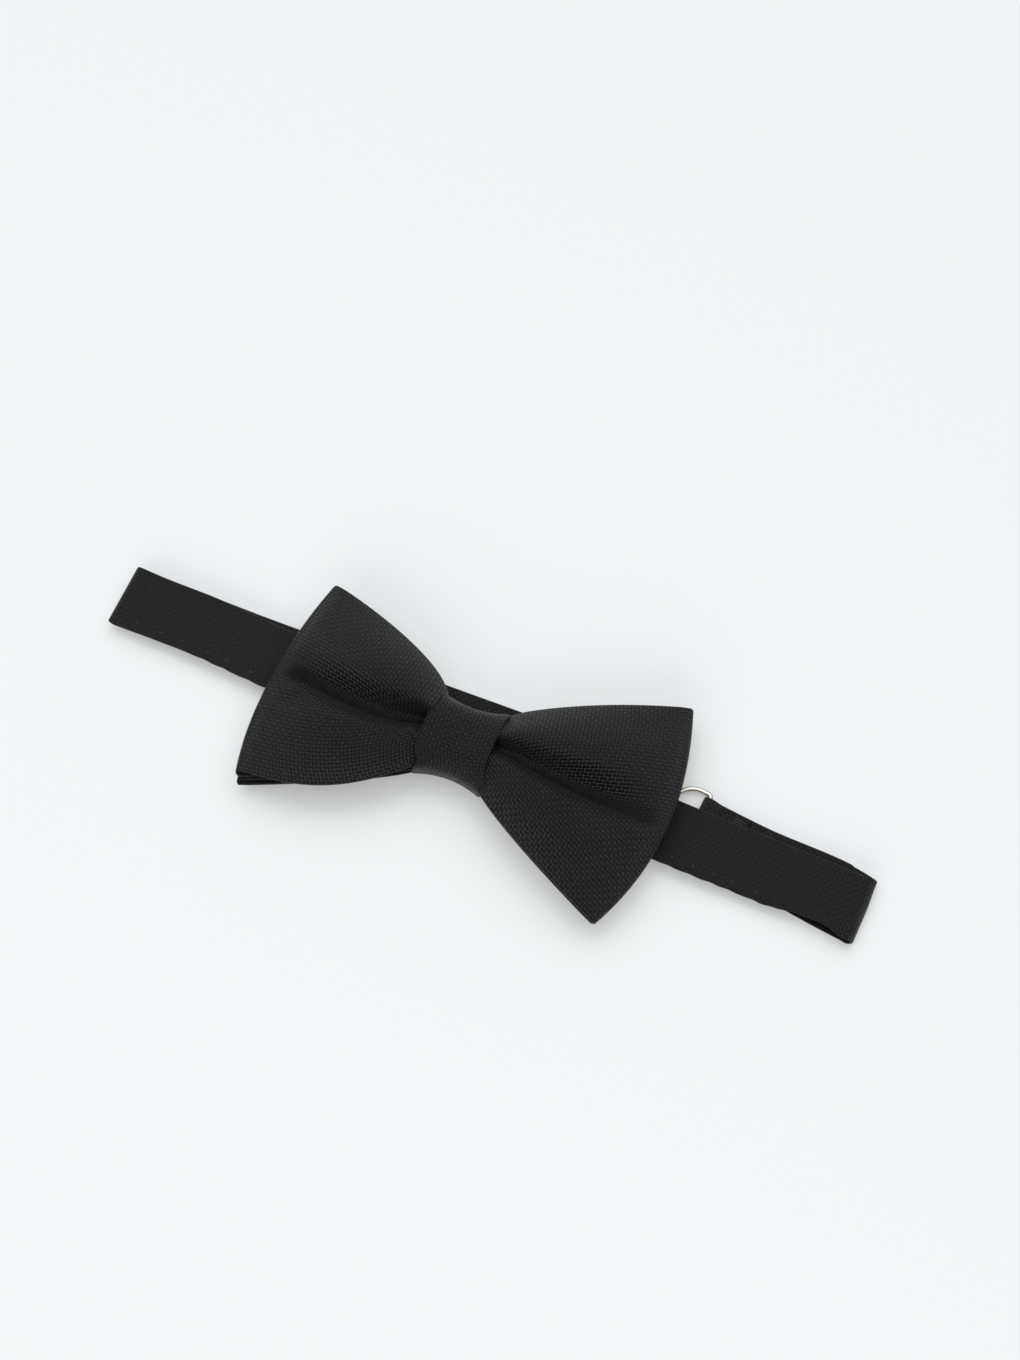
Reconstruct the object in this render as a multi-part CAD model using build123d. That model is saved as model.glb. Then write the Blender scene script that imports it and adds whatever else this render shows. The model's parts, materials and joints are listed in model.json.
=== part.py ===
"""A pre-tied bow tie lying flat, its neckband folded into a loop under the bow.

Units are millimetres.  +X runs along the neckband to the wearer's left, +Y to the top of the
bow and +Z away from the surface that the bow tie rests on.  The origin is on that surface,
under the middle of the knot.
"""

import os

from build123d import *

# Neckband: a flat sewn tube with an interlining inside.
band_width = 19.0
band_thick = 0.8
band_wall = 0.2
lining_gap = 0.03
left_fold_x = -114.5
right_fold_x = 124.4
fold_clearance = 1.0

# Heights of the stacked layers above the resting surface.
layer_gap = 0.05
return_z = 0.0
slider_bar_thick = 0.6
running_z = 2 * band_thick + slider_bar_thick + 3 * layer_gap
upper_z = 4.8
ring_strap_z = 0.0

# The lower runs of the band don't lie quite square under the upper run.
left_run_yaw = 2.6
right_run_yaw = -3.5
right_run_shift = 1.5

# Knot: a fabric wrap with its own interlining, round the waist of the bow and the band.
bow_tilt = 3.5
knot_half_length = 11.0
wrap_thick = 0.7
knot_lining_thick = 0.5
knot_half_height = 12.8
knot_back_z = 3.55
knot_front_z = 16.6
knot_corner = 2.5
stitch_thick = 0.3
thread_dia = 0.36
waist_strip_height = 3.95

# Bow: two flat sewn strips, each folded into a loop with a wing at each end.
fabric_thick = 0.5
bow_lining_thick = 0.5
waist_half_height = 10.3
wing_tip_x = 57.0
wing_bulge_x = 61.5
wing_top_y = 34.5
wing_bottom_y = -35.5
rear_wing_inset = 0.8
loop_corner = 1.1

# Hardware.
slider_x = -30.0
slider_length = 10.0
slider_leg = 7.0
slider_outer_bar_thick = 0.8
strap_split_x = 13.5
strap_gap = 0.2
slider_half_width = 11.6
slider_rail = 1.3
slider_bar = 1.4
hook_x = 48.0
hook_wire = 1.3
hook_rail_y = 10.6
hook_frame_length = 5.0
hook_tongue_width = 8.0
hook_tongue_thick = 0.9
hook_tongue_top = 3.2
hook_tongue_bottom = 0.5
hook_leg = 2.0
ring_bar_x = 72.5
ring_length = 9.6
ring_wire = 1.5
ring_half_width = 10.7
ring_round = 6.6
ring_corner = 1.0
ring_loop_width = 18.4
ring_loop_end = 14.0


def save(shape, name):
    """Write one sub-part to its own STEP file."""
    shape.label = name
    export_step(shape, f"parts/{name}.step")


def slab(x0, x1, half_y, z0, z1):
    """A box between two X stations, centred on Y = 0."""
    box = Box(x1 - x0, 2 * half_y, z1 - z0)
    return Pos((x0 + x1) / 2, 0, (z0 + z1) / 2) * box


def spaced(half_span, count):
    """Evenly spaced stations from minus to plus half_span."""
    return [half_span * (2 * i / (count - 1) - 1) for i in range(count)]


def turned_left(shape):
    """Turn a piece of the left lower run about its fold."""
    return Pos(left_fold_x, 0, 0) * Rot(0, 0, left_run_yaw) * Pos(-left_fold_x, 0, 0) * shape


def turned_right(shape):
    """Turn a piece of the right lower run about its fold, and shift it with the fold."""
    turn = Pos(right_fold_x, right_run_shift, 0) * Rot(0, 0, right_run_yaw)
    return turn * Pos(-right_fold_x, 0, 0) * shape


def tilted(shape):
    """Tilt a piece of the bow or knot about the knot's middle."""
    return Rot(0, 0, bow_tilt) * shape


def band_run(x0, x1, z0):
    """A straight run of the neckband, a flat tube, and the interlining inside it."""
    half = band_width / 2
    top = z0 + band_thick
    hollow = slab(x0 - 1, x1 + 1, half - band_wall, z0 + band_wall, top - band_wall)
    tube = slab(x0, x1, half, z0, top) - hollow
    inset = band_wall + lining_gap
    lining = slab(x0, x1, half - inset, z0 + inset, top - inset)
    return tube, lining


def half_ring(x, z, inner, outer, half_y, opens_left):
    """Half a tube about an axis along Y, for a strap's U-turn that opens left or right."""
    ring = Cylinder(outer, 2 * half_y) - Cylinder(inner, 3 * half_y)
    cut = Box(2 * outer, 4 * outer, 4 * half_y)
    side = -1 if opens_left else 1
    return Pos(x, 0, z) * Rot(90, 0, 0) * (ring - Pos(side * outer, 0, 0) * cut)


def strip(points, radii, width, thick):
    """A flat strip of a given width swept along a filleted path in the XZ plane."""
    path = FilletPolyline(*[(x, 0, z) for x, z in points], radius=radii)
    section_plane = Plane(path @ 0, x_dir=(0, 1, 0), z_dir=path % 0)
    return sweep(section_plane * Rectangle(width, thick), path=path)


def mirrored_outline(right_side):
    """Close an outline given by its right side, from the top down, with its left side."""
    left_side = [(-x, z) for x, z in reversed(right_side)]
    return right_side + left_side


def loop_block(outline, inset):
    """A solid along Y whose section is a bow loop's outline, set in from its outer face."""
    section = make_face(Polyline(*outline, close=True))
    section = fillet(section.vertices(), loop_corner)
    if inset:
        section = offset(section, -inset)
    return extrude(Plane.XZ * section, amount=60, both=True)


def wing_plan(inset):
    """The bow's outline in plan: two wings that widen from the waist to bulged ends."""
    top = wing_top_y - inset
    bottom = wing_bottom_y + inset
    tip = wing_tip_x - inset
    bulge = wing_bulge_x - inset
    waist = knot_half_length + 1
    upper_tip = (tip, top)
    lower_tip = (tip + 1, bottom)
    sides = [
        Polyline((-waist, waist_half_height), (waist, waist_half_height), upper_tip),
        ThreePointArc(upper_tip, (bulge, (top + bottom) / 2), lower_tip),
        Polyline(lower_tip, (waist, -waist_half_height), (-waist, -waist_half_height)),
        Line((-waist, -waist_half_height), (-lower_tip[0], bottom)),
        ThreePointArc((-lower_tip[0], bottom), (-bulge, (top + bottom) / 2), (-tip, top)),
        Line((-tip, top), (-waist, waist_half_height)),
    ]
    return make_face(Wire(Curve(sides).edges()))


def bow_layer(outline, inset_outer, inset_inner, plan_inset):
    """One layer of a bow loop: a closed ring in section, cut to the outline of the wings."""
    block = loop_block(outline, inset_outer) - loop_block(outline, inset_inner)
    plan = extrude(wing_plan(plan_inset), amount=40)
    return tilted(block & plan)


def across(x, z):
    """A plane square to the bow's axis, its local x along Y."""
    return Plane(origin=(x, 0, z), x_dir=(0, 1, 0), z_dir=(1, 0, 0))


def knot_section(inset):
    """The wrap's section across the knot, a rounded rectangle."""
    height = knot_front_z - knot_back_z - 2 * inset
    width = 2 * (knot_half_height - inset)
    section = RectangleRounded(width, height, knot_corner - inset)
    return across(0, (knot_front_z + knot_back_z) / 2) * section


def rounded_ring(x, z0, z1, half_y, corner, wire):
    """One turn of thread, a flat ring round the waist at station x."""
    inner = RectangleRounded(2 * half_y, z1 - z0, corner)
    outer = RectangleRounded(2 * (half_y + wire), z1 - z0 + 2 * wire, corner + wire)
    turn = across(x, (z0 + z1) / 2) * (outer - inner)
    return extrude(turn, amount=wire / 2, both=True)


def knot_tube(inset_outer, inset_inner, half_length):
    """A tube round the waist between two insets of the knot's section."""
    ring = knot_section(inset_outer) - knot_section(inset_inner)
    return tilted(extrude(ring, amount=half_length, both=True))


def wire_loop(points, radii, dia):
    """A closed wire frame swept round a flat filleted outline."""
    outline = Polyline(*points, close=True)
    face = make_face(outline)
    for corner, radius in zip(points, radii):
        vertex = face.vertices().sort_by_distance(corner)[0]
        face = fillet(vertex, radius)
    path = face.faces()[0].outer_wire()
    start = Plane(path @ 0, z_dir=path % 0)
    return sweep(start * Circle(dia / 2), path=path, transition=Transition.ROUND)


os.makedirs("parts", exist_ok=True)

# Upper run of the neckband, straight through the knot from fold to fold.
upper, upper_lining = band_run(left_fold_x, right_fold_x, upper_z)
save(upper, "neckband_upper")
save(upper_lining, "neckband_upper_interlining")

# Left fold, down to the adjusting strap.
left_fold_z = (upper_z + band_thick + running_z) / 2
left_outer = (upper_z + band_thick - running_z) / 2
left_fold = half_ring(
    left_fold_x, left_fold_z, left_outer - band_thick, left_outer, band_width / 2, False
)
save(left_fold, "left_fold")

# Right fold, down to the strap that carries the ring.
right_fold_z = (upper_z + band_thick + ring_strap_z) / 2
right_outer = (upper_z + band_thick - ring_strap_z) / 2
right_fold = half_ring(
    right_fold_x, right_fold_z, right_outer - band_thick, right_outer, band_width / 2, True
)
save(right_fold, "right_fold")

# Adjusting strap: runs from the left fold, over the slider's centre bar, towards the hook.
strap, strap_lining = band_run(left_fold_x + fold_clearance, strap_split_x, running_z)
save(turned_left(strap), "adjusting_strap")
save(turned_left(strap_lining), "adjusting_strap_interlining")
hook_leg_x = hook_x - hook_leg
running_top = running_z + band_thick
half_band = band_width / 2
end_run = slab(strap_split_x + strap_gap, hook_leg_x - strap_gap, half_band, running_z, running_top)
save(turned_left(end_run), "adjusting_strap_end")

# The strap turns round the hook's bar and comes back underneath to the slider.
turn_z = (running_z + band_thick) / 2
turn_outer = turn_z
strap_turn = (
    half_ring(hook_x, turn_z, turn_outer - band_thick, turn_outer, half_band, True)
    + slab(hook_leg_x, hook_x, half_band, running_z, running_top)
    + slab(hook_leg_x, hook_x, half_band, return_z, band_thick)
)
save(turned_left(strap_turn), "strap_hook_turn")
return_start = slider_x + slider_leg + strap_gap
return_run = slab(return_start, hook_leg_x - strap_gap, half_band, return_z, band_thick)
save(turned_left(return_run), "return_strap")

# The strap's end is folded round the slider's centre bar and sewn to itself.
bar_z = band_thick + layer_gap + slider_bar_thick / 2
loop_outer = bar_z
leg_top = 2 * bar_z
slider_loop = (
    half_ring(slider_x - slider_bar / 2, bar_z, loop_outer - band_thick, loop_outer, 9.2, False)
    + slab(slider_x - slider_bar / 2, slider_x + slider_leg, 9.2, return_z, band_thick)
    + slab(slider_x - slider_bar / 2, slider_x + slider_leg, 9.2, leg_top - band_thick, leg_top)
)
save(turned_left(slider_loop), "slider_strap_loop")
tack_height = leg_top - 2 * band_thick
slider_tack = [
    Pos(slider_x + x, y, bar_z) * Cylinder(thread_dia / 2, tack_height)
    for x in (4.4, 5.8)
    for y in spaced(8.0, 9)
]
save(turned_left(Compound(slider_tack)), "slider_bar_tack")

# Three-bar slider: two outer bars above the running strap, the centre bar below it.
slider_top = running_top + layer_gap + slider_outer_bar_thick / 2
slider_half = slider_length / 2
rail_y = slider_half_width - slider_rail / 2
rail_path = [
    (-slider_half + 0.5, slider_top),
    (-1.6, bar_z),
    (1.6, bar_z),
    (slider_half - 0.5, slider_top),
]
rail = strip(rail_path, [1.2, 1.2], slider_rail, slider_outer_bar_thick)
slider = Pos(0, rail_y, 0) * rail + Pos(0, -rail_y, 0) * rail
slider += Pos(0, 0, bar_z) * Box(slider_bar, 2 * rail_y + 0.4, slider_bar_thick)
outer_bar = Box(slider_bar, 2 * slider_half_width, slider_outer_bar_thick)
outer_bar = fillet(outer_bar.edges().filter_by(Axis.Y), 0.2)
for side in (-1, 1):
    slider += Pos(side * (slider_half - slider_bar / 2), 0, slider_top) * outer_bar
save(turned_left(Pos(slider_x, 0, 0) * slider), "slider_frame")

# Hook: a wire frame on the strap's turn, with a flat tongue that curls back below itself.
hook_outline = [
    (0, -hook_rail_y),
    (hook_frame_length, -hook_rail_y),
    (hook_frame_length, hook_rail_y),
    (0, hook_rail_y),
]
hook = Pos(0, 0, turn_z) * wire_loop(hook_outline, [0.8, 1.6, 1.6, 0.8], hook_wire)
tongue_path = [
    (hook_frame_length, turn_z),
    (hook_frame_length + 2.0, hook_tongue_top),
    (hook_frame_length + 7.6, hook_tongue_top),
    (hook_frame_length + 7.6, hook_tongue_bottom),
    (hook_frame_length + 3.8, hook_tongue_bottom),
]
hook += strip(tongue_path, [1.0, 1.3, 1.3], hook_tongue_width, hook_tongue_thick)
save(turned_left(Pos(hook_x, 0, 0) * hook), "hook")

# Right lower run of the band, its end folded round the ring's bar and tacked down.
ring_z = band_thick + layer_gap + ring_wire / 2
ring_strap, ring_lining = band_run(ring_bar_x, right_fold_x - fold_clearance, ring_strap_z)
save(turned_right(ring_strap), "ring_strap")
save(turned_right(ring_lining), "ring_strap_interlining")
loop_half = ring_loop_width / 2
upper_leg_z = 2 * ring_z - band_thick / 2
end_leg_z = 1.5 * band_thick + layer_gap
leg_path = [
    (ring_bar_x, upper_leg_z),
    (ring_bar_x + 1.2, upper_leg_z),
    (ring_bar_x + 4.6, end_leg_z),
    (ring_bar_x + ring_loop_end, end_leg_z),
]
ring_loop = half_ring(ring_bar_x, ring_z, ring_z - band_thick, ring_z, loop_half, False)
ring_loop += strip(leg_path, [2.0, 2.0], ring_loop_width, band_thick)
save(turned_right(ring_loop), "ring_strap_loop")
tack_thread = Rot(0, 90, 0) * Cylinder(thread_dia / 2, 2.6)
tack_z = end_leg_z + band_thick / 2 + thread_dia / 2
ring_tack = [Pos(ring_bar_x + 10.5, y, tack_z) * tack_thread for y in spaced(7.6, 20)]
save(turned_right(Compound(ring_tack)), "ring_bar_tack")

# Eye ring: D-shaped, straight at the strap and round at the end that takes the hook.
ring_outline = [
    (0, -ring_half_width),
    (0, ring_half_width),
    (-ring_length, ring_half_width),
    (-ring_length, -ring_half_width),
]
ring = wire_loop(ring_outline, [ring_corner, ring_corner, ring_round, ring_round], ring_wire)
save(turned_right(Pos(ring_bar_x, 0, ring_z) * ring), "eye_ring")

# Bow: a front loop and a flatter rear loop, each with its interlining.
strips_z = upper_z + band_thick + 3 * layer_gap + thread_dia
front_z = strips_z + waist_strip_height + layer_gap
front_top = front_z + waist_strip_height
front_outline = mirrored_outline(
    [
        (12, front_top),
        (34, front_top + 2.4),
        (56, front_top + 1.0),
        (wing_bulge_x, front_top - 0.6),
        (56, front_z + 1.2),
        (34, front_z + 0.5),
        (12, front_z),
    ]
)
rear_top = front_z - layer_gap
rear_outline = mirrored_outline(
    [
        (12, rear_top),
        (34, rear_top + 0.1),
        (56, rear_top + 0.2),
        (wing_bulge_x - rear_wing_inset, rear_top - 1.4),
        (56, strips_z + 0.8),
        (34, strips_z + 0.2),
        (12, strips_z),
    ]
)
lined = fabric_thick + bow_lining_thick
save(bow_layer(front_outline, 0, fabric_thick, 0), "front_bow_strip")
save(bow_layer(front_outline, fabric_thick, lined, 0.6), "front_bow_interlining")
save(bow_layer(rear_outline, 0, fabric_thick, rear_wing_inset), "rear_bow_strip")
save(bow_layer(rear_outline, fabric_thick, lined, rear_wing_inset + 0.6), "rear_bow_interlining")

# Waist thread: turns wound round the gathered waist, under the wrap.
thread_z0 = strips_z - layer_gap
thread_z1 = front_top + layer_gap
waist_thread = [
    tilted(rounded_ring(x, thread_z0, thread_z1, waist_half_height + 0.4, 0.6, thread_dia))
    for x in spaced(1.6, 5)
]
save(Compound(waist_thread), "waist_thread")

# Knot: the wrap, its interlining, and the hand stitches that close it at the back.
save(knot_tube(0, wrap_thick, knot_half_length), "knot_wrap")
knot_lined = wrap_thick + knot_lining_thick
save(knot_tube(wrap_thick, knot_lined, knot_half_length - 0.6), "knot_interlining")
stitch = Rot(0, 0, 35) * Box(1.5, stitch_thick, stitch_thick)
stitches = [Pos(x, 0, knot_back_z - stitch_thick / 2) * stitch for x in spaced(9.0, 11)]
save(tilted(Compound(stitches)), "knot_back_stitches")
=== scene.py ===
"""Looks of a pre-tied black bow tie that lies on a pale surface with its neckband folded under it.

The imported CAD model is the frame.  Shapes here are worked out in millimetres and turned into
metres when a mesh is made.  The bow and knot are shaped in their own axes, x along the bow and
y to its top, and then tilted and set down on the neckband.
"""

import json
import math

import bpy
import numpy as np
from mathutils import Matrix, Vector


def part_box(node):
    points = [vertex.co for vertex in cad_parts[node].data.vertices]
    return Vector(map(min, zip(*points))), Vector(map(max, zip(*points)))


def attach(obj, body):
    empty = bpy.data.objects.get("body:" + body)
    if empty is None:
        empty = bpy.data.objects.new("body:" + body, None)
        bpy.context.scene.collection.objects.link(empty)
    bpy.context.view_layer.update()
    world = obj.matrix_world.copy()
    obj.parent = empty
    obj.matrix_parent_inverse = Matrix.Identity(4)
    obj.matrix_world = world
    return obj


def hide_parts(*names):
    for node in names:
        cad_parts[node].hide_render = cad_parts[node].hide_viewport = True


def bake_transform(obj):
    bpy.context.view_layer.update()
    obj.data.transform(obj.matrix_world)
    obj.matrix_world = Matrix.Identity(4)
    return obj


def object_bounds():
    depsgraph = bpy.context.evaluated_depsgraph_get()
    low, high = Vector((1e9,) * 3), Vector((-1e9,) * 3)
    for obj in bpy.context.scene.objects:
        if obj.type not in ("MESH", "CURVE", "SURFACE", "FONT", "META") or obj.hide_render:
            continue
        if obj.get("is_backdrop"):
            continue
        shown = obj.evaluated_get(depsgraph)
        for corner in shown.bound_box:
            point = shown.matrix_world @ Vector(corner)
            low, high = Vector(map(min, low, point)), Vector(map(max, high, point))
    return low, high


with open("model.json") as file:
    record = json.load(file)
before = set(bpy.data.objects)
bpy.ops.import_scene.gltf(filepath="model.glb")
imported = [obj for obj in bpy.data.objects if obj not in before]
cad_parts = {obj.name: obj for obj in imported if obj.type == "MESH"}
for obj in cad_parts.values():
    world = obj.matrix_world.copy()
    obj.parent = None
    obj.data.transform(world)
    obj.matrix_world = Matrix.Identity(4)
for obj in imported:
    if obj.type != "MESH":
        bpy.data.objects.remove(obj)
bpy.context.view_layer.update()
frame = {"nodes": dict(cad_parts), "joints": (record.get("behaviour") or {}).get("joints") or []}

MM = 0.001
RIM_POINTS = 3  # round each long edge of a cloth
THREAD_SIDES = 6

# ---------------------------------------------------------------- places taken from the frame


def box_mm(node):
    """A CAD node's lowest and highest corner, in millimetres."""
    low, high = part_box(node)
    return np.array(low) / MM, np.array(high) / MM


joints = {joint["name"]: joint for joint in frame["joints"]}
upper_low, upper_high = box_mm("neckband_upper")
knot_low, knot_high = box_mm("knot_wrap")
strap_low, strap_high = box_mm("adjusting_strap")
return_low, return_high = box_mm("return_strap")
ring_strap_low, ring_strap_high = box_mm("ring_strap")
slider_loop_low, slider_loop_high = box_mm("slider_strap_loop")

BAND_HALF = (upper_high[1] - upper_low[1]) / 2
BAND_THICK = upper_high[2] - upper_low[2]
UPPER_Z = (upper_high[2] + upper_low[2]) / 2
RUNNING_Z = (strap_high[2] + strap_low[2]) / 2
RETURN_Z = (return_high[2] + return_low[2]) / 2
LEFT_FOLD_X = upper_low[0]
RIGHT_FOLD_X = upper_high[0]
LEFT_FOLD_Z = joints["left_fold_hinge"]["pos_m"][2] / MM
RIGHT_FOLD_Z = joints["right_fold_hinge"]["pos_m"][2] / MM
RIGHT_SHIFT = joints["right_fold_hinge"]["pos_m"][1] / MM
HOOK_BAR = np.array(joints["hook_swivel"]["pos_m"]) / MM
RING_BAR = np.array(joints["ring_swivel"]["pos_m"]) / MM
LEFT_YAW = math.atan2(-joints["hook_swivel"]["axis"][0], joints["hook_swivel"]["axis"][1])
RIGHT_YAW = math.atan2(joints["ring_swivel"]["axis"][0], -joints["ring_swivel"]["axis"][1])
KNOT_BACK_Z = knot_low[2]
KNOT_FRONT_Z = knot_high[2]

# ---------------------------------------------------------------- sizes of the soft pieces

BOW_TILT = math.radians(3.5)
BOW_DROP = -3.2  # the bow hangs a little low on the band
STRIP_THICK = 0.95
FRONT_BASE_Z = 10.6
REAR_BASE_Z = 7.5
FRONT_GAP = 1.6  # between a folded strip's two faces, before the upper one is shaped
REAR_GAP = 1.5
REAR_INSET = 0.2  # taken off the rear strip's reach and heights
WAIST_X = 8.0
WAIST_HALF = 9.6
WAIST_Z = 10.4
TIP_REACH = 49.0  # from the waist to where a wing's height is measured
KNOT_THICK = 0.9
KNOT_HALF_HEIGHT = 10.7
KNOT_FLARE = 2.0  # added to that half height at the knot's left and right edges
KNOT_SQUARENESS = 3.2  # of its section; 2 would be an oval, and more is boxier
WAIST_TURNS = 5
WINDING_HALF_HEIGHT = 9.4
WINDING_HALF_DEPTH = 4.0
WAIST_THREAD_RADIUS = 0.22
CLOSING_STITCHES = 11
STITCH_RADIUS = 0.17
EDGE_STITCH_RADIUS = 0.13

BAND_STEP = 0.9  # between rows of the band's surface
BAND_COLUMNS = 27
FOLD_STEPS = 16  # round the band's turn at a fold
TURN_STEPS = 8  # round its turn on a bar
END_HALF = 9.1  # half the width of the band's two folded ends
STITCH_INSET = 2.4
STITCH_DIMPLE = 0.20
STITCH_PUCKER = 0.22
UPPER_SAG = 0.9
LEFT_STITCHES = (-61, -68, -76.5, -83, -92, -99, -107)
RIGHT_STITCHES = (70, 76.5, 83, 88.5, 96, 101.5, 108, 115.5)
WEAVE_TURN = math.radians(6)  # the weave isn't quite square to the band

# Flat sizes of the cloth, width and length in metres, and areas in square metres.
FRONT_CUT = (0.073, 0.256)
FRONT_AREA = 0.0120
REAR_CUT = (0.072, 0.252)
REAR_AREA = 0.0107

# Colours painted on the cloth, shade in the gaps between the raised cells and light on their
# crowns, and the size of a cell in millimetres.
CLOTH_GAP_SHADE = (0.0003, 0.0003, 0.0004)
CLOTH_LIT_CROWN = (0.0056, 0.0058, 0.0070)
WEAVE_CELL = 1.15
BAND_CELL = 0.95
GAP_ROUGHER = 0.38  # how much rougher the gaps are than the crowns of the cells

# ---------------------------------------------------------------- mesh building


def smoothstep(low, high, value):
    """0 at low, 1 at high, smooth between them and level beyond; low may be the larger."""
    t = np.clip((value - low) / (high - low), 0, 1)
    return t * t * (3 - 2 * t)


def new_object(name, points_mm, faces, uv=None):
    """A smooth-shaded mesh object from points in millimetres."""
    mesh = bpy.data.meshes.new(name)
    mesh.from_pydata([tuple(p) for p in np.asarray(points_mm) * MM], [], faces)
    if uv is not None:
        layer = mesh.uv_layers.new(name="weave")
        layer.data.foreach_set("uv", np.asarray(uv, np.float32).ravel())
    mesh.polygons.foreach_set("use_smooth", [True] * len(mesh.polygons))
    mesh.update()
    obj = bpy.data.objects.new(name, mesh)
    bpy.context.scene.collection.objects.link(obj)
    return obj


def grid_directions(mid, closed):
    """Unit tangents across a grid of points, and the unit normals."""
    if closed:
        along = np.roll(mid, -1, axis=0) - np.roll(mid, 1, axis=0)
    else:
        along = np.gradient(mid, axis=0)
    across = np.gradient(mid, axis=1)
    normal = np.cross(along, across)
    for field in (across, normal):
        field /= np.linalg.norm(field, axis=2, keepdims=True) + 1e-12
    return across, normal


def cloth_solid(name, mid, thick, s, t, closed=False):
    """A cloth of real thickness with rounded long edges, from the grid of its middle surface.

    mid is rows along the strip by columns across it; s and t are the weave coordinates of each
    point, in millimetres.  A closed strip joins its last row to its first.
    """
    rows, cols = mid.shape[:2]
    across, normal = grid_directions(mid, closed)
    half = thick / 2
    angles = np.linspace(0, math.pi, RIM_POINTS + 2)[1:-1]
    ring, ring_t = [], []
    for j in range(cols):
        ring.append(mid[:, j] + normal[:, j] * half)
        ring_t.append(t[:, j])
    for a in angles:
        out = across[:, -1] * math.sin(a) + normal[:, -1] * math.cos(a)
        ring.append(mid[:, -1] + out * half)
        ring_t.append(t[:, -1] + half * a)
    for j in reversed(range(cols)):
        ring.append(mid[:, j] - normal[:, j] * half)
        ring_t.append(2 * t[:, -1] - t[:, j] + half * math.pi)
    for a in angles:
        out = -across[:, 0] * math.sin(a) - normal[:, 0] * math.cos(a)
        ring.append(mid[:, 0] + out * half)
        ring_t.append(2 * t[:, -1] - t[:, 0] + half * (math.pi + a))
    points = np.stack(ring, axis=1)
    ring_t = np.stack(ring_t, axis=1)
    count = points.shape[1]
    far_rim = np.repeat(s[:, -1:], RIM_POINTS, 1)
    near_rim = np.repeat(s[:, :1], RIM_POINTS, 1)
    ring_s = np.concatenate([s, far_rim, s[:, ::-1], near_rim], axis=1)
    faces, uv = [], []
    last = rows if closed else rows - 1
    for i in range(last):
        k = (i + 1) % rows
        step = 0.0
        if k == 0:
            step = ring_s[-1] - ring_s[0] + np.linalg.norm(points[0] - points[-1], axis=1)
        for j in range(count):
            m = (j + 1) % count
            faces.append((i * count + j, k * count + j, k * count + m, i * count + m))
            shift = 2 * half * math.pi + 2 * (t[0, -1] - t[0, 0]) if m == 0 else 0.0
            s_j = ring_s[k, j] + (step[j] if k == 0 else 0.0)
            s_m = ring_s[k, m] + (step[m] if k == 0 else 0.0)
            uv += [
                (ring_s[i, j], ring_t[i, j]),
                (s_j, ring_t[k, j]),
                (s_m, ring_t[k, m] + shift),
                (ring_s[i, m], ring_t[i, m] + shift),
            ]
    if not closed:
        for row, flip in ((0, False), (rows - 1, True)):
            for j in range(cols - 1):
                top_a, top_b = row * count + j, row * count + j + 1
                low_a = row * count + 2 * cols + RIM_POINTS - 1 - j
                quad = (top_a, top_b, low_a - 1, low_a)
                faces.append(quad[::-1] if flip else quad)
                edge = [(s[row, j], t[row, j])] * 4
                uv += edge
            right = [row * count + cols - 1 + n for n in range(RIM_POINTS + 2)]
            first = 2 * cols + RIM_POINTS - 1
            left = [row * count + (first + n) % count for n in range(RIM_POINTS + 2)]
            for fan in (right, left):
                faces.append(tuple(fan[::-1] if flip else fan))
                uv += [(s[row, 0], t[row, 0])] * len(fan)
    uv = np.asarray(uv) * MM
    return new_object(name, points.reshape(-1, 3), faces, uv)


def arc_length(points, axis):
    """Running length of a grid along one axis, from its first row or column."""
    steps = np.linalg.norm(np.diff(points, axis=axis), axis=2)
    start = np.zeros_like(np.take(steps, [0], axis=axis))
    return np.concatenate([start, np.cumsum(steps, axis=axis)], axis=axis)


def thread_mesh(name, paths, radius, closed=False):
    """One mesh of round threads, each swept along its own path, with rounded ends."""
    points, faces = [], []
    for path in paths:
        path = np.array(path, float)
        if not closed:
            first, last = path[0] - path[1], path[-1] - path[-2]
            first, last = first / np.linalg.norm(first), last / np.linalg.norm(last)
            path = np.vstack([path[0] + first * radius * 0.8, path, path[-1] + last * radius * 0.8])
        count = len(path)
        base = len(points)
        for i, centre in enumerate(path):
            if closed:
                ahead = path[(i + 1) % count] - path[i - 1]
            else:
                ahead = path[min(i + 1, count - 1)] - path[max(i - 1, 0)]
            ahead = ahead / np.linalg.norm(ahead)
            side = np.cross(ahead, (0, 0, 1.0) if abs(ahead[2]) < 0.9 else (1.0, 0, 0))
            side = side / np.linalg.norm(side)
            up = np.cross(side, ahead)
            size = radius * (0.45 if not closed and i in (0, count - 1) else 1.0)
            for k in range(THREAD_SIDES):
                a = 2 * math.pi * k / THREAD_SIDES
                points.append(centre + (side * math.cos(a) + up * math.sin(a)) * size)
        for i in range(count if closed else count - 1):
            for k in range(THREAD_SIDES):
                m, j = (k + 1) % THREAD_SIDES, (i + 1) % count
                this_ring, next_ring = base + i * THREAD_SIDES, base + j * THREAD_SIDES
                faces.append((this_ring + k, this_ring + m, next_ring + m, next_ring + k))
        if not closed:
            faces.append(tuple(base + k for k in reversed(range(THREAD_SIDES))))
            faces.append(tuple(base + (count - 1) * THREAD_SIDES + k for k in range(THREAD_SIDES)))
    return new_object(name, points, faces)


# ---------------------------------------------------------------- the bow


def set_down(points):
    """Tilt points of the bow's own axes and set them on the band, in the part's frame."""
    x, y, z = points[..., 0], points[..., 1] + BOW_DROP, points[..., 2]
    c, s = math.cos(BOW_TILT), math.sin(BOW_TILT)
    return np.stack([x * c - y * s, x * s + y * c, z], axis=-1)


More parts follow.
